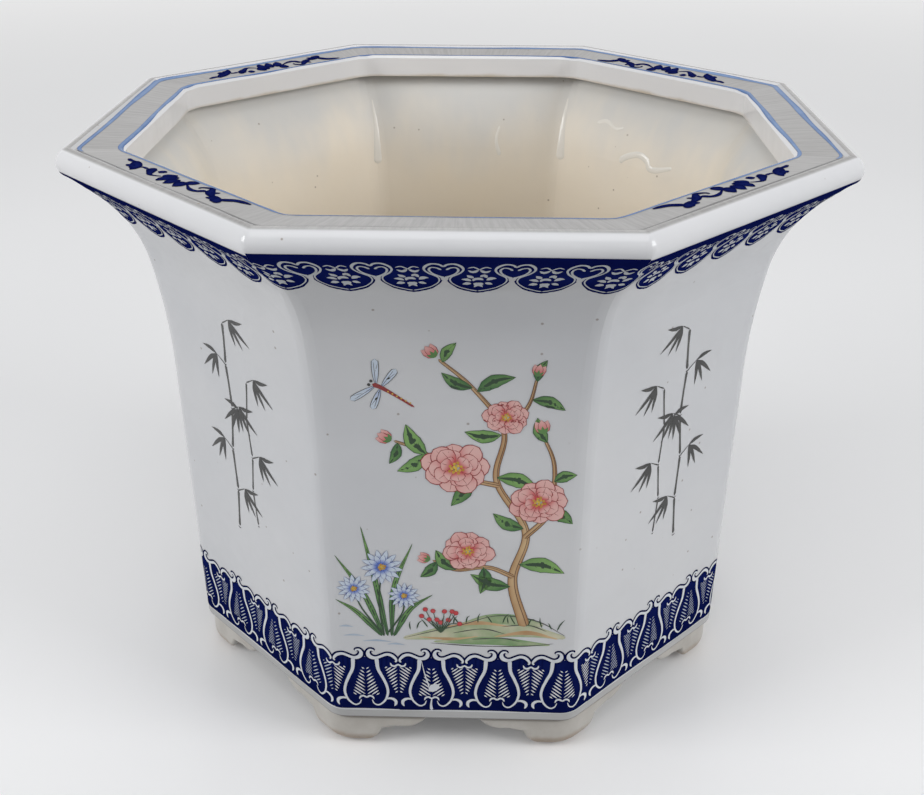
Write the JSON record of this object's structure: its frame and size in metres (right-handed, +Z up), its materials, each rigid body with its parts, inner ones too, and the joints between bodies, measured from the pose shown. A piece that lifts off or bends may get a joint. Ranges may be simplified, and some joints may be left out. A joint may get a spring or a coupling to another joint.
{
  "type": "planter",
  "caption": "Octagonal footed porcelain planter with upright walls that flare to a dished flat rim and blue painted borders, open at the top to hold a potted plant.",
  "frame": {"origin": "on the pot's upright axis, at the surface that the feet stand on", "axes": "+Z up along the axis, the decorated front face towards -Y, +X to the right seen from the front"},
  "size_m": [0.4008, 0.4008, 0.3197],
  "materials": {
    "wall_glaze": "gloss",
    "rim_glaze": "gloss",
    "floor_glaze": "gloss",
    "foot_glaze": "satin"
  },
  "bodies": {
    "root": {"floor_slab": "floor_glaze", "wall_right": "wall_glaze", "wall_back_right": "wall_glaze", "wall_back": "wall_glaze", "wall_back_left": "wall_glaze", "wall_left": "wall_glaze", "wall_front_left": "wall_glaze", "wall_front": "wall_glaze", "wall_front_right": "wall_glaze", "rim_right": "rim_glaze", "rim_back_right": "rim_glaze", "rim_back": "rim_glaze", "rim_back_left": "rim_glaze", "rim_left": "rim_glaze", "rim_front_left": "rim_glaze", "rim_front": "rim_glaze", "rim_front_right": "rim_glaze", "foot_right_back": "foot_glaze", "foot_back_right": "foot_glaze", "foot_back_left": "foot_glaze", "foot_left_back": "foot_glaze", "foot_left_front": "foot_glaze", "foot_front_left": "foot_glaze", "foot_front_right": "foot_glaze", "foot_right_front": "foot_glaze"}
  },
  "joints": []
}
